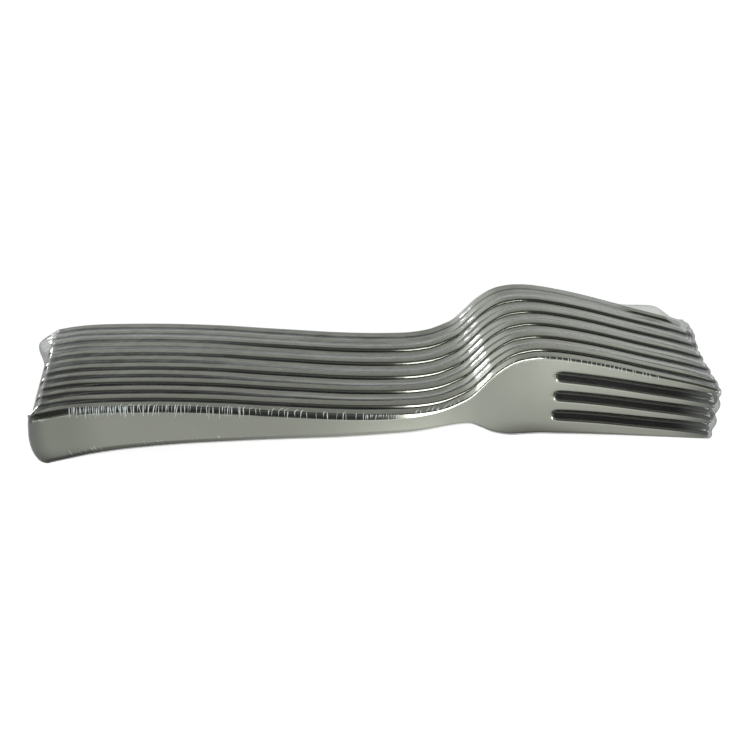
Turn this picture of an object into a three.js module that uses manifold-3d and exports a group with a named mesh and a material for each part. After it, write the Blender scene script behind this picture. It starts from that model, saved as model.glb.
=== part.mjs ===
// A sleeve of plastic forks: twelve identical moulded forks nested one behind the other,
// held as a block by clear shrink film.  Millimetres, +Z up.
// X runs along the forks (handle ends at -X, tines at +X), Y through the stack
// (the open, hollow side of every fork faces -Y), Z across the width of a fork.
// The block lies on the long side edges of the forks.
import * as THREE from "three";
import { mergeVertices } from "three/addons/utils/BufferGeometryUtils.js";
import Module from "manifold-3d";

const wasm = await Module();
wasm.setup();
const { Manifold, Mesh } = wasm;

const COUNT = 12;          // forks in the sleeve
const LENGTH = 190;        // one fork, handle end to tine tips
const HEAD_LENGTH = 75;    // of that, from the narrowest place of the neck to the tips
const TINE_LENGTH = 42.6;  // of that, the slots
const HANDLE_WIDTH = 17.6;
const NECK_WIDTH = 6.3;
const HEAD_WIDTH = 27.2;
const TIP_WIDTH = 17;      // across the four tips
const SLOT_WIDTH = 3.3;
const SLOT_STEP = 7;       // from slot to slot at their roots
const TIP_STEP = 5.05;     // and at the tips
const THICK = 2.9;         // moulded thickness, measured through the stack
const NEST = 0.57;         // free space from fork to fork, at the middle of their length
const FAN = -0.0027;       // the stack opens this much per millimetre towards the handle ends
const SKEW = -0.266;       // every fork sits this much further back than the one before it
const CURL = 3.45;         // how far the handle end bends forward
const BOW = 2.15;          // how far the handle bows back
const HEEL = 11.6;         // how far the heel of the head stands back
const DISH = 0.42;         // hollow across the front face
const CROWN = 1.5;         // width of the rounded front edge
const WALL = 0.3;          // film, with the layers of the overlap taken together
const GAP = 0.34;          // film to fork
const VENT = 4;            // hole punched in the film
const SLIP = 0.08;         // every second fork is this much nearer the tines
// the handles in the middle of the block ride up a little; the heads lie in pairs, of which
// the first fork stands a little higher than the second; the first and last heads lie low
const LIFTS = [0, 0.7, 0.5, 0.65, 0.68, 0.76, 0.74, 0.76, 0.62, 0.58, 0.34, 0.2];
const HIGH_HEAD = 0.7, LOW_HEAD = 0.3;
const HALF = LENGTH / 2;
const PITCH = THICK + NEST;
const LIFT = Math.max(...LIFTS);
const TIP = HALF + 0.4;    // the loft runs on to here before the tips are cut

// ---- tables along the fork -------------------------------------------------------------
// Places are noted for a handle that reaches from -95 to 20 and a head from 20 to 95,
// and stretched to the lengths above.
const place = (x) => (x < 20 ? -HALF + ((x + 95) * (LENGTH - HEAD_LENGTH)) / 115 : HALF - ((95 - x) * HEAD_LENGTH) / 75);
const table = (rows) => rows.map(([x, v]) => [place(x), v]);
const between = (a, b, t) => a + (b - a) * t;

// front face of the first fork: y at x.  The handle end curls forward, the neck steps back
// to the heel of the head, the tines come forward again.
const FRONT = table([[-95, -CURL], [-88, -0.35 * CURL], [-78, 0.48 * BOW], [-62, BOW], [-45, 0.95 * BOW],
  [-25, 0.47 * BOW], [-8, 0.05 * BOW], [4, 0.016 * HEEL], [13, 0.082 * HEEL], [20, 0.235 * HEEL], [27, 0.484 * HEEL],
  [34, 0.743 * HEEL], [41, 0.93 * HEEL], [48, HEEL], [56, 0.913 * HEEL], [66, 0.733 * HEEL], [78, 0.465 * HEEL],
  [88, 0.24 * HEEL], [95, 0.05 * HEEL]]);
// half width of the outline
const handle = (t) => between(NECK_WIDTH, HANDLE_WIDTH, t) / 2;
const flare = (t) => between(NECK_WIDTH, HEAD_WIDTH, t) / 2;
const tines = (t) => between(TIP_WIDTH, HEAD_WIDTH, t) / 2;
const WIDE = table([[-91, handle(0.99)], [-88.5, handle(1)], [-85, handle(0.98)], [-75, handle(0.84)], [-64, handle(0.73)],
  [-53, handle(0.62)], [-41, handle(0.5)], [-30, handle(0.37)], [-19, handle(0.265)], [-8, handle(0.165)],
  [3, handle(0.07)], [9, handle(0.035)], [14, handle(0)], [20, flare(0)], [24, flare(0.055)], [28, flare(0.16)],
  [31.5, flare(0.42)], [35, flare(0.7)], [40, flare(0.935)], [45, flare(1)], [49, flare(1)], [54, tines(0.955)],
  [64, tines(0.775)], [76, tines(0.495)], [88, tines(0.22)], [92, tines(0.11)], [95, tines(0)]]);
// thickness is kept to the roots of the slots and thins towards the tips
const DEEP = table([[-95, 1], [48, 1], [62, 0.92], [80, 0.78], [90, 0.68], [95, 0.55]]);
// how far the film spans the hollow in front of the first head
const SPAN = table([[-97, 0], [2, 0], [14, 0.06 * HEEL], [24, 0.23 * HEEL], [34, 0.4 * HEEL], [45, 0.45 * HEEL],
  [58, 0.4 * HEEL], [74, 0.23 * HEEL], [88, 0.08 * HEEL], [97, 0]]);
// sections are taken at these places, in the forks and in the film alike
const PLACES = [-84, -72, -58, -42, -25, -8, 5, 14, 19, 22.5, 25.5, 28, 30, 32, 34, 36.5, 40, 45, 50, 57, 66, 75,
  84, 91].map(place);

// cubic through a table, with slopes taken from its neighbours
function along(table, x) {
  const n = table.length;
  if (x <= table[0][0]) return table[0][1];
  if (x >= table[n - 1][0]) return table[n - 1][1];
  let i = 0;
  while (x > table[i + 1][0]) i++;
  const slope = (k) => {
    const a = table[Math.max(0, k - 1)], b = table[Math.min(n - 1, k + 1)];
    return (b[1] - a[1]) / (b[0] - a[0]);
  };
  const [x0, y0] = table[i], [x1, y1] = table[i + 1];
  const h = x1 - x0, t = (x - x0) / h;
  return (2 * t ** 3 - 3 * t * t + 1) * y0 + (t ** 3 - 2 * t * t + t) * h * slope(i)
    + (-2 * t ** 3 + 3 * t * t) * y1 + (t ** 3 - t * t) * h * slope(i + 1);
}

// the handle is narrower than the head, so a fork lying on its edge tilts up towards the head
const REST_A = -HALF + 6.5, REST_B = place(45);
const BASE = WALL + GAP;
const TILT = (along(WIDE, REST_B) - along(WIDE, REST_A)) / (REST_B - REST_A);
const centre = (x) => BASE + along(WIDE, REST_B) + TILT * (x - REST_B);

// how far fork k rides up at x: the handles one way, the heads another, with a smooth change at the neck
function lift(k, x) {
  const t = Math.max(0, Math.min(1, (x - place(-10)) / (place(35) - place(-10))));
  const head = k === 0 || k === COUNT - 1 ? 0 : k % 2 ? HIGH_HEAD : LOW_HEAD;
  return between(LIFTS[k % LIFTS.length], head, t * t * (3 - 2 * t));
}

// ---- solids ----------------------------------------------------------------------------
// closed loft through rings that all have the same number of points
function loft(rings) {
  const m = rings[0].length, pos = [], idx = [];
  for (const ring of rings) for (const p of ring) pos.push(...p);
  for (let s = 0; s + 1 < rings.length; s++) {
    for (let k = 0; k < m; k++) {
      const a = s * m + k, b = s * m + (k + 1) % m, c = a + m, d = b + m;
      idx.push(a, b, d, a, d, c);
    }
  }
  const last = (rings.length - 1) * m;
  for (let k = 1; k + 1 < m; k++) {
    idx.push(0, k + 1, k);
    idx.push(last, last + k, last + k + 1);
  }
  return solid(pos, idx);
}

function solid(pos, idx) {
  let mesh = new Mesh({ numProp: 3, vertProperties: new Float32Array(pos), triVerts: new Uint32Array(idx) });
  let body = new Manifold(mesh);
  if (body.volume() < 0) {
    const turned = [];
    for (let i = 0; i < idx.length; i += 3) turned.push(idx[i], idx[i + 2], idx[i + 1]);
    mesh = new Mesh({ numProp: 3, vertProperties: new Float32Array(pos), triVerts: new Uint32Array(turned) });
    body = new Manifold(mesh);
  }
  return body;
}

// a flat outline in x and z, drawn out through y
function prism(points, y0, y1) {
  const geometry = new THREE.ExtrudeGeometry(new THREE.Shape(points.map(([x, z]) => new THREE.Vector2(x, z))),
    { depth: y1 - y0, bevelEnabled: false });
  geometry.deleteAttribute("normal");
  geometry.deleteAttribute("uv");
  geometry.rotateX(Math.PI / 2);
  geometry.translate(0, y1, 0);
  const merged = mergeVertices(geometry, 1e-4);
  return solid(Array.from(merged.attributes.position.array), Array.from(merged.index.array));
}

function toGeometry(body) {
  const out = body.getMesh();
  const geometry = new THREE.BufferGeometry();
  geometry.setAttribute("position", new THREE.BufferAttribute(Float32Array.from(out.vertProperties), 3));
  geometry.setIndex(new THREE.BufferAttribute(Uint32Array.from(out.triVerts), 1));
  geometry.computeVertexNormals();
  return geometry;
}

// ---- one fork --------------------------------------------------------------------------
// section: crowned edges at the front, smaller ones at the back, a shallow dish between
function forkRing(x, w, shrink = 0) {
  const z = centre(x), front = along(FRONT, x) + shrink, back = front + THICK * along(DEEP, x) - 2 * shrink;
  const crown = Math.min(CROWN, w * 0.42);
  const pts = [
    [-w + crown, front], [-w * 0.42, front + DISH], [w * 0.42, front + DISH], [w - crown, front],
    [w - crown * 0.3, front + 0.15 * THICK], [w, front + 0.45 * THICK], [w, back - 0.18 * THICK], [w - 0.5, back],
    [-w + 0.5, back], [-w, back - 0.18 * THICK], [-w, front + 0.45 * THICK], [-w + crown * 0.3, front + 0.15 * THICK],
  ];
  return pts.map(([dz, y]) => [x, y, z + dz]);
}

function forkBody() {
  const end = HANDLE_WIDTH / 2;
  const rings = [
    forkRing(-HALF, end - 5.4, 0.5), forkRing(-HALF + 0.8, end - 4, 0.2), forkRing(-HALF + 2, end - 2.3),
    forkRing(-HALF + 3.8, end - 0.5), forkRing(REST_A, end),
  ];
  for (const x of [...PLACES, TIP]) rings.push(forkRing(x, along(WIDE, x)));
  let body = loft(rings);

  // three slots with round roots leave four tines
  const root = HALF - TINE_LENGTH, past = HALF + 3, half = SLOT_WIDTH / 2;
  for (const side of [-1, 0, 1]) {
    const zr = centre(root) + side * SLOT_STEP, zt = centre(past) + side * TIP_STEP;
    const run = Math.atan2(zt - zr, past - root);
    const outline = [];
    for (let k = 0; k <= 6; k++) {
      const a = run + Math.PI / 2 + (Math.PI * k) / 6;
      outline.push([root + half + half * Math.cos(a), zr + half * Math.sin(a)]);
    }
    outline.push([past, zt - half], [past, zt + half]);
    body = body.subtract(prism(outline, -CURL - THICK, HEEL + 3 * THICK));
  }

  // rounded tine tips
  const inner = (TIP_STEP - SLOT_WIDTH) / 2, outer = (TIP_WIDTH / 2 - TIP_STEP - SLOT_WIDTH / 2) / 2;
  const tip = [[-HALF - 5, -10], [HALF - 3.2, -10]];
  for (const k of [-1.5, -0.5, 0.5, 1.5]) {
    const c = centre(HALF) + TIP_STEP * k + (Math.abs(k) > 1 ? Math.sign(k) * (outer - inner) : 0);
    const r = Math.abs(k) > 1 ? outer : inner;
    tip.push([HALF - 3.2, c - 1.13 * r], [HALF - 1.1, c - 0.83 * r], [HALF - 0.2, c - 0.35 * r], [HALF, c],
      [HALF - 0.2, c + 0.35 * r], [HALF - 1.1, c + 0.83 * r], [HALF - 3.2, c + 1.13 * r]);
  }
  tip.push([HALF - 3.2, HEAD_WIDTH + 20], [-HALF - 5, HEAD_WIDTH + 20]);
  return body.intersect(prism(tip, -CURL - THICK, HEEL + 3 * THICK));
}

// ---- shrink film -----------------------------------------------------------------------
// drawn tight over the edges of the block; it spans the hollow of the first fork's head
// part of the way and stands off the ends a little
const LAST = COUNT - 1;

function filmRing(x, w, inset, pull = 0) {
  const xs = Math.max(-HALF, Math.min(HALF, x));
  const clear = BASE - inset;
  const flat = Math.abs(x - REST_B) < 5.5 || Math.abs(x - REST_A) < 2.9;
  const low = (flat ? 0 : Math.max(0, centre(xs) - w - BASE)) + inset + pull;
  const high = centre(xs) + w + LIFT + clear - pull;
  const near = along(FRONT, xs) - along(SPAN, x) - clear + pull;
  const far = along(FRONT, xs) + LAST * (PITCH + FAN * xs) + THICK + clear + 2 * SLIP - pull;
  const r = 1.2 - inset * 0.8, q = r * 0.3;
  // each ring leans back with the stack
  const lean = (y) => x + (LAST * SKEW * (y - near)) / (far - near);
  return [
    [near + r, low], [near + q, low + q], [near, low + r],
    [near, high - r], [near + q, high - q], [near + r, high],
    [far - r, high], [far - q, high - q], [far, high - r],
    [far, low + r], [far - q, low + q], [far - r, low],
  ].map(([y, z]) => [lean(y), y, z]);
}

function filmBody() {
  const end = HANDLE_WIDTH / 2, tip = TIP_WIDTH / 2;
  const build = (inset) => {
    const rings = [
      filmRing(-HALF - 1.7 + inset, end - 3.6, inset, 0.5), filmRing(-HALF - 0.8 + inset * 0.5, end - 1.9, inset, 0.1),
      filmRing(-HALF + 1.4, end - 0.7, inset), filmRing(-HALF + 4, end - 0.1, inset), filmRing(REST_A, end, inset),
      filmRing(REST_A + 2.5, end - 0.05, inset),
    ];
    for (const x of PLACES.slice(1)) rings.push(filmRing(x, along(WIDE, x), inset));
    rings.push(filmRing(HALF + 0.4 - inset * 0.5, tip + 0.6, inset), filmRing(HALF + 1.6 - inset, tip, inset, 0.5));
    return loft(rings);
  };
  let film = build(0).subtract(build(WALL));
  // vent holes punched through the film at the back of the handles
  for (const x of [place(-64), place(-18)]) {
    const hole = [];
    for (let k = 0; k < 12; k++) {
      hole.push([x + (VENT / 2) * Math.cos((k * Math.PI) / 6), centre(x) + (VENT / 2) * Math.sin((k * Math.PI) / 6)]);
    }
    film = film.subtract(prism(hole, (LAST * PITCH) / 2, COUNT * PITCH + HEEL + 3));
  }
  return film;
}

// ---- object ----------------------------------------------------------------------------
const metallised = new THREE.MeshStandardMaterial({ name: "metallised plastic", color: 0x9a9c97, metalness: 0.85, roughness: 0.28 });
const clear = new THREE.MeshStandardMaterial({ name: "clear film", color: 0xf4f6f6, metalness: 0, roughness: 0.08, transparent: true, opacity: 0.2 });

const pack = new THREE.Group();
pack.name = "cutlery_pack";
const shape = toGeometry(forkBody());
const wrap = new THREE.Mesh(toGeometry(filmBody()), clear);
wrap.name = "shrink_film";
// the origin goes under the middle of the pack, in the plane it rests on
wrap.geometry.computeBoundingBox();
const mid = wrap.geometry.boundingBox.getCenter(new THREE.Vector3());
wrap.geometry.translate(-mid.x, -mid.y, 0);
for (let k = 0; k < COUNT; k++) {
  const geometry = shape.clone(), p = geometry.attributes.position;
  for (let i = 0; i < p.count; i++) {
    const x = p.getX(i);
    p.setXYZ(i, x + k * SKEW + (k % 2 ? SLIP : -SLIP) - mid.x, p.getY(i) + k * (PITCH + FAN * x) - mid.y,
      p.getZ(i) + lift(k, x));
  }
  geometry.computeVertexNormals();
  const fork = new THREE.Mesh(geometry, metallised);
  fork.name = `fork_${String(k + 1).padStart(2, "0")}`;
  pack.add(fork);
}
pack.add(wrap);

export default pack;
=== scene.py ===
"""A pack of twelve metallised plastic forks, nested on their long edges and bound in clear shrink
film, lying on a pale floor.  Lengths are worked out in millimetres and put into meshes in metres."""
import math

import bmesh
import bpy
import numpy as np
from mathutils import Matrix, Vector


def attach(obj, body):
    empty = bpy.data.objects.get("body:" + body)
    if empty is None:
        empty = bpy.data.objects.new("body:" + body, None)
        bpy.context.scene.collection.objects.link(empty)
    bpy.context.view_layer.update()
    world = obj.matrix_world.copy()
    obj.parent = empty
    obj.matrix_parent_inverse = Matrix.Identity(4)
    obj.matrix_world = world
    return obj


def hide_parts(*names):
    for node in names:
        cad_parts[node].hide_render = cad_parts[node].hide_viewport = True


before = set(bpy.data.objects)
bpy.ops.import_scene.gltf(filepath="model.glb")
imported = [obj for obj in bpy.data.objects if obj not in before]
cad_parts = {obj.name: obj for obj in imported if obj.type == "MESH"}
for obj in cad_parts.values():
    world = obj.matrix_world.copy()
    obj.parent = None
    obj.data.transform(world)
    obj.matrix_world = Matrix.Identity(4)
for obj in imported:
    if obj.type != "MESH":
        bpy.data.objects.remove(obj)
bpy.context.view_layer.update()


# The forks: twelve from one mould, injected in polystyrene and then coated with bright metal in a
# vacuum.  Each is a bar of even thickness with crowned front edges, a hollow handle, a stepped
# neck and a wide head with three slots, and each nests in the hollow of the one before it.
FORKS = 12
HALF_LENGTH, FORK_THICKNESS = 95, 3.15
END_RADIUS, END_FROM = 17, -88.0  # the arc that closes the handle, and where its rows begin
TIP_FROM, TIP_LENGTH = 91.6, 3.4  # the rounded ends of the tines
ROOT_X, SLOT_RADIUS = 52.4, 1.6
PITCH_X, PITCH = (49, 98), (7, 5.05)  # from slot to slot, wider at the roots than at the tips
DISH = 0.04  # depth of the hollow of the front, as a share of its half width
FRONT_ROUND, SLOT_ROUND, BACK_ROUND = (0.14, 0.18), (0.6, 0.6), (0.28, 0.35)  # depth, width
SKEW_PER_FORK, SLIP = -0.266, 0.2  # each fork lies further left; every second one is slipped right
PACK_MIDDLE = (-1.513, 23.997)
REST_HANDLE_X, REST_HEAD_X, REST_Z = -88.5, 45.0, 0.34  # where a fork's edge touches the table
HANDLE_RISE = [0, 0.15, 0.3, 0.5, 0.55, 0.62, 0.6, 0.6, 0.45, 0.4, 0.1, -0.1]
HEAD_RISE_ODD, HEAD_RISE_EVEN, TIP_DROOP = 0.45, 0.05, 0.12

# y of the front face and half width of the outline, along the fork
FRONT_FACE = np.array([
    (-95, -3.45), (-88, -1.21), (-78, 1.03), (-62, 2.15), (-45, 2.04), (-25, 1.01), (-8, 0.11), (4, 0.19),
    (13, 0.95), (20, 2.73), (27, 5.61), (34, 8.62), (41, 10.79), (48, 11.6), (56, 10.59), (66, 8.5),
    (78, 5.39), (88, 2.78), (95, 0.58)])
HALF_WIDTH = np.array([
    (-91, 8.74), (-88.5, 8.8), (-85, 8.69), (-75, 7.9), (-64, 7.27), (-53, 6.65), (-41, 5.98), (-30, 5.24),
    (-19, 4.65), (-8, 4.08), (3, 3.55), (9, 3.35), (14, 3.15), (20, 3.15), (24, 3.72), (28, 4.82),
    (31.5, 7.54), (35, 10.47), (40, 12.92), (45, 13.6), (49, 13.6), (54, 13.37), (64, 12.45), (76, 11.02),
    (88, 9.62), (92, 9.06), (95, 8.5)])
THICKNESS_SHARE = np.array([(-95, 1), (48, 1), (62, 0.92), (80, 0.78), (90, 0.68), (95, 0.55)])


def curve_through(table, x):
    """Cubic through the rows of a table: on each span the Hermite cubic whose end slopes are those
    of the chords between the two neighbouring rows."""
    t, v = table[:, 0], table[:, 1]
    n = len(t)
    low, high = np.maximum(np.arange(n) - 1, 0), np.minimum(np.arange(n) + 1, n - 1)
    slope = (v[high] - v[low]) / (t[high] - t[low])
    x = np.clip(x, t[0], t[-1])
    i = np.clip(np.searchsorted(t, x, side="right") - 1, 0, n - 2)
    h = t[i + 1] - t[i]
    s = (x - t[i]) / h
    return ((2 * s**3 - 3 * s**2 + 1) * v[i] + (s**3 - 2 * s**2 + s) * h * slope[i]
            + (3 * s**2 - 2 * s**3) * v[i + 1] + (s**3 - s**2) * h * slope[i + 1])


def ease(x, start, end):
    """0 before start, 1 after end, 3t^2 - 2t^3 between."""
    t = np.clip((x - start) / (end - start), 0, 1)
    return t * t * (3 - 2 * t)


def half_width(x):
    """The table, closed at the handle end by an arc of 17 mm radius; where the two meet, the corner
    is rounded by a smooth minimum."""
    u = np.clip(x + HALF_LENGTH, 0, END_RADIUS - 0.4)
    arc = np.sqrt(np.maximum(END_RADIUS**2 - (END_RADIUS - u - 0.3)**2, 0.01))
    side = curve_through(HALF_WIDTH, x)
    both = np.sqrt((arc - side)**2 + 0.06)
    return np.where(x < -87, (arc + side - both) / 2, side)


def centre_height(x):
    """Height of the fork's long axis: the handle is narrower than the head, so a fork that lies
    on its edge tilts up towards the head along a straight line."""
    head, end = curve_through(HALF_WIDTH, REST_HEAD_X), curve_through(HALF_WIDTH, REST_HANDLE_X)
    return REST_Z + head + (head - end) / (REST_HEAD_X - REST_HANDLE_X) * (x - REST_HEAD_X)


def fork_rise(k, x):
    """How far fork k rides up: its own height at the handle, and in the heads high and low by
    turns.  The further back a fork is, the lower its tips droop."""
    head = 0.0 if k in (0, FORKS - 1) else (HEAD_RISE_ODD if k % 2 else HEAD_RISE_EVEN)
    t = ease(x, -65, 8)
    return HANDLE_RISE[k] * (1 - t) + head * t - TIP_DROOP * k * ease(x, 50, HALF_LENGTH)


def stack_step(x):
    """Distance from fork to fork: the stack is a little tighter at the heads and the handle ends."""
    return 3.47 - 0.0027 * x - 0.07 * ease(x, 0, 40) - 0.06 * (1 - ease(x, -85, -20))


def fork_plan():
    """Flat outline of a fork as a grid of rows along x and columns across it.  The four tines have
    13 columns each, spaced as a cosine so that they crowd at both edges; 5 more stand in each slot,
    on a half circle where the slot begins, and end there."""
    quarter = np.linspace(0, math.pi / 2, 15)
    slot_from = ROOT_X + SLOT_RADIUS
    rows = np.concatenate([
        END_FROM - (HALF_LENGTH + END_FROM) * np.cos(quarter[:-1]), np.arange(END_FROM, 19.9, 1.55),
        np.arange(20, 43.9, 1.1), np.linspace(44, slot_from, 13)])
    last_whole = len(rows) - 1
    tip = np.linspace(0, math.pi / 2, 11)
    rows = np.concatenate([
        rows, np.linspace(slot_from, TIP_FROM, 32)[1:], TIP_FROM + TIP_LENGTH * np.sin(tip[1:])])
    x = rows[:, None]

    def edges_at(x):
        """Lower and upper edge of the four tines, from z = -half width to +half width."""
        slot = PITCH[0] + (PITCH[1] - PITCH[0]) * (x - PITCH_X[0]) / (PITCH_X[1] - PITCH_X[0])
        w = curve_through(HALF_WIDTH, x)
        r = SLOT_RADIUS
        low = np.concatenate([-w, -slot + r, 0 * x + r, slot + r], 1)
        high = np.concatenate([-slot - r, 0 * x - r, slot - r, w], 1)
        u = np.clip((x - TIP_FROM) / TIP_LENGTH, 0, 1)
        middle, half = (low + high) / 2, (high - low) / 2
        half = 0.3 + (half - 0.3) * np.sqrt(np.clip(1 - u**2.3, 0, 1))
        return middle - half, middle + half

    cosine = (1 - np.cos(np.linspace(0, math.pi, 13))) / 2
    low, high = edges_at(np.maximum(x, slot_from))
    angle = np.radians([-60, -30, 0, 30, 60])
    parts, depth, tine_column = [], [], []
    for tine in range(4):
        parts.append(low[:, tine:tine + 1] + (high - low)[:, tine:tine + 1] * cosine)
        depth.append(np.zeros(13))
        tine_column.append(np.ones(13, bool))
        if tine < 3:
            slot = (high[:, tine:tine + 1] + low[:, tine + 1:tine + 2]) / 2
            parts.append(slot + SLOT_RADIUS * np.sin(angle))
            depth.append(SLOT_RADIUS * np.cos(angle))
            tine_column.append(np.zeros(5, bool))
    z, depth, tine_column = np.concatenate(parts, 1), np.concatenate(depth), np.concatenate(tine_column)
    root = z[last_whole]
    whole = np.arange(len(rows)) <= last_whole
    z = np.where(whole[:, None], root / root[-1] * half_width(x), z)
    x = x - depth * np.where(whole, ease(rows, 43, slot_from), 1)[:, None]
    return x, z, tine_column, last_whole


def grid_quads(index):
    """Quads of a grid of point numbers, as rows and columns of quads."""
    return np.stack([index[:-1, :-1], index[1:, :-1], index[1:, 1:], index[:-1, 1:]], -1)


def plan_faces(x, tine_column, last_whole):
    """Quads between neighbouring rows and columns, without those that would bridge a slot."""
    quads = grid_quads(np.arange(x.size).reshape(x.shape))
    keep = np.ones(quads.shape[:2], bool)
    keep[last_whole:] = tine_column[:-1] & tine_column[1:]
    return quads[keep]


def outline_of(quads):
    """Edges that belong to one quad only, in the order in which that quad goes round."""
    sides = np.concatenate([quads[:, [i, (i + 1) % 4]] for i in range(4)])
    key = np.sort(sides, 1)
    _, first, count = np.unique(key, axis=0, return_index=True, return_counts=True)
    return sides[first[count == 1]]


def distance_to(points, a, b):
    """Least distance from each point to the straight pieces a-b of an outline."""
    step = b - a
    length = (step**2).sum(1)
    nearest = []
    for chunk in np.array_split(points, 40):
        along = np.clip(((chunk[:, None] - a) * step).sum(2) / length, 0, 1)
        nearest.append(np.sqrt((((a + along[..., None] * step) - chunk[:, None])**2).sum(2)).min(1))
    return np.concatenate(nearest)


def round_over(distance, depth_and_width):
    """Quarter of an ellipse: how far an edge falls away at this distance from it."""
    depth, width = depth_and_width
    t = np.clip(1 - distance / width, 0, 1)
    return depth * (1 - np.sqrt(1 - t * t))


def bevel(distance, width):
    """Slope of height 1 that starts softly, as (1 - distance / width) to the power 1.12."""
    return np.clip(1 - distance / width, 0, 1) ** 1.12


def bevel_size(x):
    """Width and depth of the sloping border of the front: broad on the handle and deepest at its
    end, fine on the head."""
    slim = ease(x, -75, 0) * 0.2 + ease(x, -4, 28) * 0.8
    return 2.05 - 1.5 * slim, 0.87 - 0.55 * slim + 0.42 * (1 - ease(x, -86, -76))


plan_x, plan_z, tine_column, last_whole = fork_plan()
plan_quads = plan_faces(plan_x, tine_column, last_whole)
used, plan_quads = np.unique(plan_quads, return_inverse=True)
plan_quads = plan_quads.reshape(-1, 4)
plan_x, plan_z = plan_x.ravel()[used], plan_z.ravel()[used]
rim = outline_of(plan_quads)
rim_x, rim_z = plan_x[rim], plan_z[rim]
inside_width = np.abs(rim_z).max(1) < curve_through(HALF_WIDTH, rim_x.max(1)) - 0.4
in_slot = (rim_x.min(1) > ROOT_X - 0.1) & inside_width & (rim_x.max(1) < 93.5)
plan_points = np.stack([plan_x, plan_z], 1)
to_outside = distance_to(plan_points, *plan_points[rim[~in_slot].T])
to_slot = distance_to(plan_points, *plan_points[rim[in_slot].T])
to_rim = np.minimum(to_outside, to_slot)


def fork_surface():
    """y of the front and back of fork 0 over its plan.  Front = face curve + a shallow dish inside
    the border + the sloping border, whose outer edge is rounded, and a round-over along the slots.
    Back = face curve + thickness, with a small round-over."""
    w = half_width(plan_x)
    face = curve_through(FRONT_FACE, plan_x)
    thick = FORK_THICKNESS * curve_through(THICKNESS_SHARE, plan_x)
    border, fall = bevel_size(plan_x)
    across = np.clip(np.abs(plan_z) / (w - border), 0, 1)
    dish = DISH * (w - border) * (1 - across**2) * ease(plan_x, -HALF_LENGTH, -86)
    edge = fall * bevel(to_outside, border) + round_over(to_outside, FRONT_ROUND)
    edge = np.maximum(edge, round_over(to_slot, SLOT_ROUND))
    front = face + dish + np.minimum(edge, thick * 0.5)
    back = face + thick - round_over(to_rim, BACK_ROUND)
    return front, back


fork_front, fork_back = fork_surface()


def fork_mesh(name, k):
    """Front and back sheets of the same plan, joined along the outline by a wall of three quads with its
    two inner rows close to the edges; then stepped back by k places and raised.  It gets a point attribute
    that is 1 on the front and the outer walls, and 0 on the back and on the walls of the slots, where the
    metal shader paints a dark grey as shade."""
    n = len(plan_x)
    rim_ids, rim_turn = np.unique(rim, return_inverse=True)
    rim_turn = rim_turn.reshape(-1, 2)
    m = len(rim_ids)
    rows = [fork_front[rim_ids] + share * (fork_back - fork_front)[rim_ids] for share in (0.07, 0.93)]
    x = np.concatenate([plan_x, plan_x, plan_x[rim_ids], plan_x[rim_ids]])
    z = np.concatenate([plan_z, plan_z, plan_z[rim_ids], plan_z[rim_ids]])
    y = np.concatenate([fork_front, fork_back, *rows])
    a, b = rim[:, 0], rim[:, 1]
    a1, b1 = rim_turn[:, 0] + 2 * n, rim_turn[:, 1] + 2 * n
    a2, b2 = a1 + m, b1 + m
    quads = np.concatenate([
        plan_quads, plan_quads[:, ::-1] + n,
        np.stack([b, a, a1, b1], 1), np.stack([b1, a1, a2, b2], 1), np.stack([b2, a2, a + n, b + n], 1)])
    place = np.stack([
        x + k * SKEW_PER_FORK + (SLIP if k % 2 else -SLIP) - PACK_MIDDLE[0],
        y + k * stack_step(x) - PACK_MIDDLE[1],
        z + centre_height(x) + fork_rise(k, x)], 1)
    fork = sheet_mesh(name, place, quads)
    # painted shade: 0 on the back sheet and on the walls of the slots, which the metal turns dark grey
    free_of_painted_shade = np.ones(len(x))
    inner = np.abs(plan_z[rim_ids]) < half_width(plan_x[rim_ids]) - 0.5
    free_of_painted_shade[n:2 * n] = 0
    free_of_painted_shade[2 * n:][np.tile(inner & (plan_x[rim_ids] > 40), 2)] = 0
    fork.data.attributes.new("free_of_painted_shade", "FLOAT", "POINT").data.foreach_set("value", free_of_painted_shade.astype(np.float32))
    return fork


def sheet_mesh(name, points_mm, quads):
    """Mesh object in metres from an array of points and an array of quads, shaded smooth."""
    mesh = bpy.data.meshes.new(name)
    mesh.vertices.add(len(points_mm))
    mesh.vertices.foreach_set("co", (points_mm / 1000).astype(np.float32).ravel())
    mesh.loops.add(quads.size)
    mesh.loops.foreach_set("vertex_index", quads.astype(np.int32).ravel())
    mesh.polygons.add(len(quads))
    mesh.polygons.foreach_set("loop_start", np.arange(0, quads.size, 4, dtype=np.int32))
    mesh.update(calc_edges=True)
    mesh.validate()
    mesh.polygons.foreach_set("use_smooth", np.ones(len(mesh.polygons), bool))
    obj = bpy.data.objects.new(name, mesh)
    bpy.context.scene.collection.objects.link(obj)
    return obj


def close_seams(obj, distance):
    """Merges points nearer than the distance, and turns every face outwards."""
    shell = bmesh.new()
    shell.from_mesh(obj.data)
    bmesh.ops.remove_doubles(shell, verts=shell.verts, dist=distance)
    bmesh.ops.recalc_face_normals(shell, faces=shell.faces)
    shell.to_mesh(obj.data)
    shell.free()
    return obj


def linear(hex_colour):
    """sRGB hex to linear RGBA."""
    srgb = [int(hex_colour[i:i + 2], 16) / 255 for i in (1, 3, 5)]
    return (*[c / 12.92 if c <= 0.04045 else ((c + 0.055) / 1.055) ** 2.4 for c in srgb], 1.0)


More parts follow.
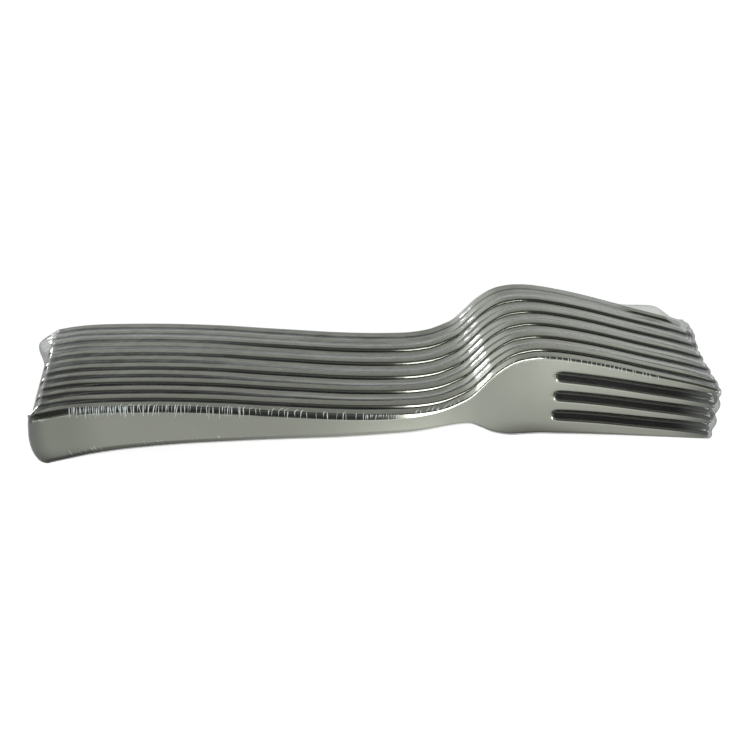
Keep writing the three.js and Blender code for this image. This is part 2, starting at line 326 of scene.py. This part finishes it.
def add(tree, kind, settings=None, **inputs):
    """One node: settings are its own properties, inputs are socket values or (node, output) links.
    A socket is named with underscores, or i and its number where names repeat."""
    made = tree.nodes.new(kind)
    for key, value in (settings or {}).items():
        setattr(made, key, value)
    for key, value in inputs.items():
        name = key.replace("_", " ")
        socket = made.inputs[int(key[1:])] if key[0] == "i" and key[1:].isdigit() else made.inputs[name]
        if isinstance(value, tuple) and len(value) == 2 and hasattr(value[0], "outputs"):
            tree.links.new(value[0].outputs[value[1]], socket)
        else:
            socket.default_value = value
    return made


def new_material(name):
    material = bpy.data.materials.new(name)
    material.use_nodes = True
    material.node_tree.nodes.clear()
    return material, material.node_tree


# Vacuum-metallised polystyrene: a mirror of evaporated metal under clear lacquer on a moulded
# skin.  The eye gets a slightly grey-green mirror, softened by the lacquer, with the faint
# unevenness of the moulding and a gloss that varies in fine lines along the fork.
metallised_polystyrene, tree = new_material("metallised_polystyrene")
place = add(tree, "ShaderNodeTexCoord")
haze = add(tree, "ShaderNodeTexNoise", Vector=(place, "Object"), Scale=90.0, Detail=3.0)
bright = add(tree, "ShaderNodeMix", {"data_type": "RGBA"}, i0=(haze, "Fac"),
             i6=linear("#CFD1C4"), i7=linear("#D8DACD"))
# painted shade: the backs and the walls of the slots get a dark grey, so that the slots look dim
free_of_painted_shade = add(tree, "ShaderNodeAttribute", {"attribute_name": "free_of_painted_shade"})
shaded_tone = add(tree, "ShaderNodeMix", {"data_type": "RGBA"}, i0=(free_of_painted_shade, "Fac"),
           i6=linear("#35372F"), i7=(bright, "Result"))
# polish lines 0.4 mm apart that run along the fork, and moulding waves about 6 mm long
along_fork = add(tree, "ShaderNodeMapping", Vector=(place, "Object"), Scale=(0.05, 1.0, 1.0))
polish = add(tree, "ShaderNodeTexNoise", Vector=(along_fork, "Vector"), Scale=2500.0, Detail=2.0)
gloss = add(tree, "ShaderNodeMapRange", Value=(polish, "Fac"), To_Min=0.1, To_Max=0.13)
waves = add(tree, "ShaderNodeTexNoise", Vector=(place, "Object"), Scale=160.0, Detail=1.0)
wavy = add(tree, "ShaderNodeBump", Strength=0.05, Distance=0.0002, Height=(waves, "Fac"))
shader = add(tree, "ShaderNodeBsdfPrincipled", Base_Color=(shaded_tone, "Result"), Metallic=1.0,
             Roughness=(gloss, "Result"), Normal=(wavy, "Normal"))
add(tree, "ShaderNodeOutputMaterial", Surface=(shader, "BSDF"))

for k in range(FORKS):
    fork_name = f"fork_{k + 1:02d}"
    fork = fork_mesh(f"moulded_{fork_name}", k)
    fork.data.materials.append(metallised_polystyrene)
    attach(fork, "root")
    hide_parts(fork_name)


# The wrap: one sleeve of clear shrink film, drawn tight by heat over the edges of the block.  It
# follows the hollow of the nearest head, is slack in a small pocket at the handle ends and in a
# flap over the far tips, and is drawn in between the tips.
FILM_GAP = 0.07
FILM_SPAN = np.array([(-97, 0), (2, 0), (20, 0.15), (45, 0.3), (74, 0.15), (97, 0)])
FILM_ENDS = (-94.4, 95.25)
SAG, FLAP, LOOSE_BELOW = 0.1, 2.2, 0.1  # between two forks, over the far tips, under the block
END_ROUND, END_CORNER = 2.3, 2.4  # how far the handle ends curve in, and out at the near top corner
WEB_IN_PAIR, WEB_BETWEEN = 0.7, 1.5  # how far the film is drawn in between the tips


def rise_of_film(x, k):
    """How far the film rides up at place k: level over each fork, from 0.22 to 0.88 of its place in
    the stack, and in a straight line from there to the next fork."""
    forks = np.repeat(np.arange(FORKS), 2)
    places = forks + np.tile([0.22, 0.88], FORKS)
    rises = np.stack([fork_rise(int(fork), x) for fork in forks]).reshape(len(forks), -1)
    seat = np.interp(k, places, np.arange(len(forks)))
    low = np.clip(np.floor(seat).astype(int), 0, len(forks) - 2)
    part = seat - low
    point = np.arange(x.size).reshape(x.shape)
    return rises[low, point] * (1 - part) + rises[low + 1, point] * part


def film_station(x, k, s):
    """y and z of the film at station x.  k is the place in the stack (0 = front, 12 = back), s runs
    over the height (-1 to 1).  z = middle + s x (half width + rise - a small sag between forks
    + the flap).  y goes from front to back in even steps; the front lies on the sloping border."""
    inside = np.clip(x, -HALF_LENGTH, HALF_LENGTH)
    w = np.where(inside < -88.5, 8.8, curve_through(HALF_WIDTH, inside)) + FILM_GAP
    border, fall = bevel_size(inside)
    border, fall = np.maximum(border, 0.9), np.maximum(fall, 0.5)
    rise = rise_of_film(inside, k)
    sag = SAG * np.clip(1 - (k - 0.05) % 1 / 0.12, 0, 1)
    flap = FLAP * ease(x, 77, 88) * (1 - ease(x, 88, 93.5)) * np.clip(k - 10.6, 0, 1)
    top = w + rise - sag + flap
    bottom = w + LOOSE_BELOW - np.minimum(rise, 0)
    z = centre_height(inside) + np.where(s > 0, top, bottom) * s
    face = curve_through(FRONT_FACE, inside)
    from_edge = (1 - np.abs(s)) * w
    near = face - FILM_GAP - curve_through(FILM_SPAN, x)
    far = face + (FORKS - 1) * stack_step(inside) + FORK_THICKNESS + 2 * FILM_GAP
    front = near + np.clip(1 - from_edge / border, 0, 1) ** 1.25 * fall
    back = far - 0.5 * np.clip(1 - from_edge / 0.8, 0, 1) ** 2
    y = front + (back - front) * k / FORKS
    return y - PACK_MIDDLE[1], np.maximum(z, 0.03)


def film_point(x, k, s):
    """Point of the film.  At the handles x is moved to the round ends of the forks, most at the
    edges, and out again at the near top corner.  At the tips it is moved out with k, and in
    between the tips: more between two pairs of forks than within a pair."""
    x = x + 1.3 * ease(k, 5, 10.5) * ease(x, 89, HALF_LENGTH)
    turn = (k + 0.25) % 1
    between = np.clip(1 - turn / 0.3, 0, 1) + np.clip(1 - np.abs(turn - 1) / 0.3, 0, 1)
    drawn_in = np.where(np.floor(k + 0.75) % 2 == 1, WEB_BETWEEN, WEB_IN_PAIR)
    x = x - between * drawn_in * ease(x, 90, FILM_ENDS[1])
    corner = END_CORNER * np.clip(1 - k / 1.2, 0, 1) * np.clip(s, 0, 1)**4
    x = x + (END_ROUND * np.abs(s)**2.2 - corner) * ease(x, -84, FILM_ENDS[0])
    y, z = film_station(x, k, s)
    return np.stack([x + k * SKEW_PER_FORK - PACK_MIDDLE[0], y, z], -1)


def film_mesh(name):
    """A tube of rectangular rings with rounded front edges, closed by a curved sheet at each end.
    Its outline runs k from front to back along the top, s down the back, and returns.  The end
    sheets bulge by 1 mm or so inside their rims: the left one by 4.4 mm in a pocket at the top
    near the back, the right one over each tine and more with k.  The point attribute "bunched"
    is 1 where the film is slack and crumpled."""
    k_line = np.concatenate([[0, 0.1], np.arange(0.22, 11.9, 0.165), [11.94, 12]])
    s_line = np.concatenate([
        np.linspace(-1, -0.7, 7), np.linspace(-0.6, 0.6, 13), np.linspace(0.7, 1, 7)])
    n, m = len(k_line), len(s_line)
    ring_k = np.concatenate([k_line, np.full(m - 2, float(FORKS)), k_line[::-1], np.zeros(m - 2)])
    ring_s = np.concatenate([np.ones(n), s_line[::-1][1:-1], -np.ones(n), s_line[1:-1]])
    stations = np.concatenate([
        np.linspace(FILM_ENDS[0], -86, 12), np.arange(-85.2, 94.2, 0.8), [94.6, 95.0, FILM_ENDS[1]]])
    x = np.repeat(stations[:, None], len(ring_k), 1)
    k, s = np.repeat(ring_k[None], len(stations), 0), np.repeat(ring_s[None], len(stations), 0)
    index = np.arange(x.size).reshape(x.shape)
    quads = [grid_quads(np.concatenate([index, index[:, :1]], 1)).reshape(-1, 4)]
    points, total = [film_point(x, k, s).reshape(-1, 3)], x.size
    crumpled = 0.3 * ease(x, -74, -86) + 0.7 * ease(x, -90, FILM_ENDS[0]) + ease(x, 84, HALF_LENGTH)
    bunched = [np.maximum(crumpled, k / (2 * FORKS)).reshape(-1)]

    k, s = np.meshgrid(k_line, s_line, indexing="ij")
    in_from_rim = (np.clip((1 - np.abs(s)) / 0.3, 0, 1) ** 0.5 * np.clip(k / 0.25, 0, 1) ** 0.5
                   * np.clip((FORKS - k) / 0.5, 0, 1) ** 0.5)
    pocket = np.exp(-((k - 10.8) / 1.5)**2) * np.exp(-((s - 0.7) / 0.5)**2)
    tines = np.cos(np.clip(np.abs(s) * 1.5 % 1 - 0.5, -0.5, 0.5) * math.pi) ** 0.7
    bulges = (-(1.0 + 3.4 * pocket), 1.15 - 1.5 * (1 - tines) + 1.2 * ease(k, 7, 10.5))
    for end, bulge in zip(FILM_ENDS, bulges):
        sheet = film_point(np.full_like(k, end), k, s)
        sheet[..., 0] += bulge * in_from_rim
        faces = grid_quads(np.arange(n * m).reshape(n, m) + total).reshape(-1, 4)
        quads.append(faces[:, ::-1] if end > 0 else faces)
        points.append(sheet.reshape(-1, 3))
        bunched.append(np.full(n * m, 1.0))
        total += n * m
    film = sheet_mesh(name, np.concatenate(points), np.concatenate(quads))
    mark = film.data.attributes.new("bunched", "FLOAT", "POINT")
    mark.data.foreach_set("value", np.concatenate(bunched).astype(np.float32))
    return close_seams(film, 1e-6)


# Polyolefin shrink film: blown, clear and glossy, and tightened by hot air.  The eye sees through
# it, and gets long soft reflections from where it is tight and a grey veil where it is bunched.
shrunk_polyolefin, tree = new_material("shrunk_polyolefin_film")
place = add(tree, "ShaderNodeTexCoord")
gathers = add(tree, "ShaderNodeMapping", Vector=(place, "Object"), Scale=(1.0, 0.12, 0.12))
crimp = add(tree, "ShaderNodeTexNoise", Vector=(gathers, "Vector"), Scale=700.0, Detail=2.0)
slack = add(tree, "ShaderNodeTexNoise", Vector=(place, "Object"), Scale=110.0, Detail=2.0)
fine = add(tree, "ShaderNodeBump", Strength=0.25, Distance=0.00012, Height=(crimp, "Fac"))
wavy = add(tree, "ShaderNodeBump", Strength=0.5, Distance=0.0006, Height=(slack, "Fac"),
           Normal=(fine, "Normal"))
# so thin a film mirrors little when seen straight on, and much more at a slant
slant = add(tree, "ShaderNodeLayerWeight", Blend=0.5, Normal=(wavy, "Normal"))
rising = add(tree, "ShaderNodeMath", {"operation": "POWER"}, i0=(slant, "Facing"), i1=2.5)
mirror = add(tree, "ShaderNodeMath", {"operation": "MULTIPLY_ADD"},
             i0=(rising, "Value"), i1=0.9, i2=0.015)
bunch = add(tree, "ShaderNodeAttribute", {"attribute_name": "bunched"})
veil = add(tree, "ShaderNodeMath", {"operation": "MULTIPLY_ADD"},
           i0=(bunch, "Fac"), i1=0.16, i2=0.005)
facing = add(tree, "ShaderNodeMath", {"operation": "ADD", "use_clamp": True},
             i0=(mirror, "Value"), i1=(veil, "Value"))
glossy = add(tree, "ShaderNodeBsdfGlossy", Color=linear("#F2F5F4"), Roughness=0.09,
             Normal=(wavy, "Normal"))
tint = add(tree, "ShaderNodeMix", {"data_type": "RGBA"}, i0=(bunch, "Fac"),
           i6=linear("#FBFCFB"), i7=linear("#CDCFCD"))
through = add(tree, "ShaderNodeBsdfTransparent", Color=(tint, "Result"))
film_shader = add(tree, "ShaderNodeMixShader", i0=(facing, "Value"),
                  i1=(through, "BSDF"), i2=(glossy, "BSDF"))
add(tree, "ShaderNodeOutputMaterial", Surface=(film_shader, "Shader"))

wrap = film_mesh("shrunk_sleeve")
wrap.data.materials.append(shrunk_polyolefin)
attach(wrap, "root")
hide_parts("shrink_film")


# Gathers: where the sleeve shrank along the edges of the nearest fork its spare width stands in
# small folds across the edge, close together near the handle end, with fine wisps at the lower
# edge.  Folded film turns whitish.
UPPER, LOWER = 1, -1
FOLD_GROUPS = [  # x from, x to, how many, length on the face, length past the edge, which edge
    (-84, -68, 30, 3.3, 0.5, UPPER), (-70, -51, 22, 3.3, 1.0, UPPER), (-51, -22, 18, 2.9, 1.3, UPPER),
    (-22, -2, 11, 2.4, 1.0, UPPER), (-2, 8, 14, 1.8, 0.1, UPPER), (12, 30, 14, 0.5, 1.6, UPPER),
    (30, 40, 14, 1.0, 1.0, UPPER), (38, 80, 34, 1.9, 0.3, UPPER), (-46, -36, 5, 4.6, 1.0, UPPER),
    (-86, -76, 9, 3.4, 0, LOWER), (-66, -30, 26, 2.6, 0, LOWER)]


def gather_folds(name):
    """Each fold is a closed sliver of 9 rings of 4 points.  It runs from the face (way below 0) over
    the sloping border to the edge and past it, x = start + lean x way, bent to one side past the
    edge.  It is broad at the edge and thins out on the face; the wisps lean more."""
    dice = np.random.default_rng(7)
    x0, down, up, edge = [], [], [], []
    for start, end, count, low, high, which in FOLD_GROUPS:
        x0.append(start + (end - start) * (np.arange(count) + dice.uniform(0, 0.9, count)) / count)
        down.append(low * dice.uniform(0.45, 1.1, count))
        up.append(high * dice.uniform(0.3, 1.3, count))
        edge.append(np.full(count, which))
    x0, down, up, edge = (np.concatenate(v)[:, None] for v in (x0, down, up, edge))
    at_lower = edge == LOWER
    t = np.linspace(0, 1, 9)
    way = -down + (down + up) * t
    on_face, past_edge = np.clip(-way, 0, None), np.clip(way, 0, None)
    upright, slanting = dice.normal(0.03, 0.1, x0.shape), dice.normal(0.45, 0.15, x0.shape)
    lean = np.where(at_lower, slanting, upright)
    x = x0 + lean * way + past_edge**2 * dice.uniform(0, 0.8, x0.shape)
    border, fall = bevel_size(x)
    reach = curve_through(HALF_WIDTH, x) + FILM_GAP
    y = curve_through(FRONT_FACE, x) - FILM_GAP + fall * bevel(on_face, border) + past_edge
    z = centre_height(x) + fork_rise(0, x) + edge * (reach - on_face - 0.4 * at_lower)
    size = np.clip(1.9 * t, 0, 1) * (1 - t**8)
    breadth = np.where(at_lower, 1.2, np.where(x0 > 36, 0.7, 1))
    width = 0.1 * size * dice.uniform(0.4, 1.6, x0.shape) * breadth
    height = 0.12 * size * np.where(at_lower, 0.5, 1)
    front = way < -0.15
    out_y, out_z = np.where(front, -0.9, -0.3), np.where(front, 0.45, 0.95)
    ring = []
    for side, rise in ((-1, 0), (0, 1), (1, 0), (0, -0.25)):
        ring.append(np.stack([
            x + side * width - PACK_MIDDLE[0], y + rise * height * out_y - PACK_MIDDLE[1],
            z + edge * rise * height * out_z], -1))
    points = np.stack(ring, 2)
    index = np.arange(points[..., 0].size).reshape(points.shape[:3])
    after = np.roll(index, -1, 2)
    quads = np.stack([index[:, :-1], after[:, :-1], after[:, 1:], index[:, 1:]], -1).reshape(-1, 4)
    return close_seams(sheet_mesh(name, points.reshape(-1, 3), quads), 1e-7)


# Creased polyolefin: the fold is a bluish white, half clear line, with a faint painted glow as its
# highlight.
creased_polyolefin_painted_glow, tree = new_material("creased_film_with_painted_glow")
place = add(tree, "ShaderNodeTexCoord")
speck = add(tree, "ShaderNodeTexNoise", Vector=(place, "Object"), Scale=900.0, Detail=1.0)
cloud = add(tree, "ShaderNodeMapRange", Value=(speck, "Fac"), From_Min=0.3, From_Max=0.7,
            To_Min=0.45, To_Max=0.95)
crease_with_painted_glow = add(tree, "ShaderNodeBsdfPrincipled", Base_Color=linear("#F2F6F8"), Roughness=0.3,
             Alpha=(cloud, "Result"), Emission_Color=linear("#E6EEF4"), Emission_Strength=0.25)
add(tree, "ShaderNodeOutputMaterial", Surface=(crease_with_painted_glow, "BSDF"))

folds = gather_folds("film_gathers")
folds.data.materials.append(creased_polyolefin_painted_glow)
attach(folds, "root")


# The floor: a plain white studio table.  The camera sees it white, with the soft shadow that the pack
# throws on it.  The mirrors of the pack see a painted grey: a painted pool of light in front of the
# nearest head, and painted shade where the pack stands close.
FLOOR_REACH = 4
floor_mesh = bpy.data.meshes.new("studio_floor")
corners = [(x * FLOOR_REACH, y * FLOOR_REACH, 0) for x, y in ((-1, -1), (1, -1), (1, 1), (-1, 1))]
floor_mesh.from_pydata(corners, [], [(0, 1, 2, 3)])
floor = bpy.data.objects.new("studio_floor", floor_mesh)
bpy.context.scene.collection.objects.link(floor)
white_paper, tree = new_material("matt_white_paper")
ray = add(tree, "ShaderNodeLightPath")
seen = add(tree, "ShaderNodeMath", {"operation": "MAXIMUM"},
           i0=(ray, "Is Camera Ray"), i1=(ray, "Is Transmission Ray"))
# painted light: a soft oval of brighter grey on the table in front of the nearest head, seen only by the
# mirrors of the pack
spot = add(tree, "ShaderNodeTexCoord")
oval = add(tree, "ShaderNodeVectorMath", {"operation": "MULTIPLY"}, i0=(spot, "Object"),
           i1=(1.0, 1.3, 1.0))
away = add(tree, "ShaderNodeVectorMath", {"operation": "DISTANCE"}, i0=(oval, "Vector"),
           i1=(0.032, -0.081, 0.0))
painted_light_pool = add(tree, "ShaderNodeMapRange", {"interpolation_type": "SMOOTHERSTEP"}, Value=(away, "Value"),
            From_Min=0.0, From_Max=0.075, To_Min=0.93, To_Max=0.42)
# painted shade: what the mirrors see of the table darkens where the pack stands close to it
cover = add(tree, "ShaderNodeAmbientOcclusion", {"samples": 6}, Distance=0.008)
painted_contact_shade = add(tree, "ShaderNodeMath", {"operation": "POWER"}, i0=(cover, "AO"), i1=1.6)
painted_pool_and_shade = add(tree, "ShaderNodeMath", {"operation": "MULTIPLY"},
                 i0=(painted_light_pool, "Result"), i1=(painted_contact_shade, "Value"))
mirrored = add(tree, "ShaderNodeMath", {"operation": "MULTIPLY"},
               i0=(ray, "Is Glossy Ray"), i1=(painted_pool_and_shade, "Value"))
shown = add(tree, "ShaderNodeMath", {"operation": "MULTIPLY"}, i0=(seen, "Value"), i1=0.89)
level = add(tree, "ShaderNodeMath", {"operation": "MAXIMUM"}, i0=(shown, "Value"), i1=(mirrored, "Value"))
lit = add(tree, "ShaderNodeMix", {"data_type": "RGBA"}, i0=(ray, "Is Glossy Ray"),
          i6=linear("#E9E9E6"), i7=linear("#000000"))
matt = add(tree, "ShaderNodeBsdfDiffuse", Color=(lit, "Result"))
white = add(tree, "ShaderNodeEmission", Color=linear("#FFFFFF"), Strength=(level, "Value"))
both = add(tree, "ShaderNodeAddShader", i0=(matt, "BSDF"), i1=(white, "Emission"))
add(tree, "ShaderNodeOutputMaterial", Surface=(both, "Shader"))
floor_mesh.materials.append(white_paper)


# The light: a pale wall behind that darkens upwards, a dark room overhead and behind the camera,
# and two soft boxes: a broad one low at the right front, with a dimmer rim around it, and a
# narrow bluish one at the left back.
world = bpy.data.worlds.new("studio")
world.use_nodes = True
tree = world.node_tree
tree.nodes.clear()
direction = add(tree, "ShaderNodeTexCoord")
parts = add(tree, "ShaderNodeSeparateXYZ", Vector=(direction, "Generated"))


def fill_ramp(ramp, stops):
    """Puts the stops (place, grey) into a colour ramp, the two ends first."""
    elements = ramp.color_ramp.elements
    for i, (place, grey) in enumerate(stops):
        stop = elements[i] if i < 2 else elements.new(place)
        stop.position = place
        stop.color = (grey, grey, grey, 1)


wall = add(tree, "ShaderNodeValToRGB", Fac=(parts, "Z"))
fill_ramp(wall, [(0.0, 0.8), (1.0, 0.14), (0.1, 0.8), (0.42, 0.68), (0.5, 0.54), (0.545, 0.45),
                 (0.61, 0.28), (0.69, 0.16), (0.83, 0.1)])
room = add(tree, "ShaderNodeValToRGB", Fac=(parts, "Z"))
fill_ramp(room, [(0.0, 0.8), (1.0, 0.12), (0.02, 0.4), (0.05, 0.05), (0.1, 0.02), (0.19, 0.035),
                 (0.24, 0.1), (0.3, 0.2), (0.36, 0.14), (0.44, 0.03), (0.8, 0.04)])
backwards = add(tree, "ShaderNodeMapRange", {"interpolation_type": "SMOOTHSTEP"}, Value=(parts, "Y"),
                From_Min=-0.15, From_Max=0.35)
surround = add(tree, "ShaderNodeMix", {"data_type": "RGBA"}, i0=(backwards, "Result"),
               i6=(room, "Color"), i7=(wall, "Color"))
sky = add(tree, "ShaderNodeBackground", Color=(surround, "Result"), Strength=1.0)
add(tree, "ShaderNodeOutputWorld", Surface=(sky, "Background"))
bpy.context.scene.world = world


def soft_box(name, direction, distance, size_x, size_y, brightness, colour=(1, 1, 1)):
    """Area lamp that looks at the pack; its power follows from the brightness of its face."""
    lamp = bpy.data.lights.new(name, "AREA")
    lamp.shape = "RECTANGLE"
    lamp.size, lamp.size_y = size_x, size_y
    lamp.energy = brightness * math.pi * size_x * size_y
    lamp.color = colour
    obj = bpy.data.objects.new(name, lamp)
    where = Vector(direction).normalized()
    obj.location = where * distance
    obj.rotation_euler = where.to_track_quat("Z", "Y").to_euler()
    bpy.context.scene.collection.objects.link(obj)


soft_box("soft_box_right", (0.587, -0.81, 0.19), 0.8, 0.75, 0.26, 3.8)
soft_box("soft_box_right_rim", (0.6, -0.8, 0.19), 0.79, 0.94, 0.34, 0.8)
soft_box("soft_box_left", (-0.625, 0.78, 0.2), 1.2, 0.09, 0.2, 10.5, (0.95, 0.93, 1.0))


# The camera: a lens of about normal length that looks from the front and 36 degrees down.
lens = bpy.data.cameras.new("camera")
lens.lens, lens.sensor_width = 55.4, 36
lens.clip_start = 0.01
camera = bpy.data.objects.new("camera", lens)
camera.location = (0.0018, -0.2746, 0.2129)
aim = Vector((0.0021, -0.0059, 0.01725)) - camera.location
camera.rotation_euler = aim.to_track_quat("-Z", "Y").to_euler()
bpy.context.scene.collection.objects.link(camera)
bpy.context.scene.camera = camera
bpy.context.scene.view_settings.view_transform = "Standard"
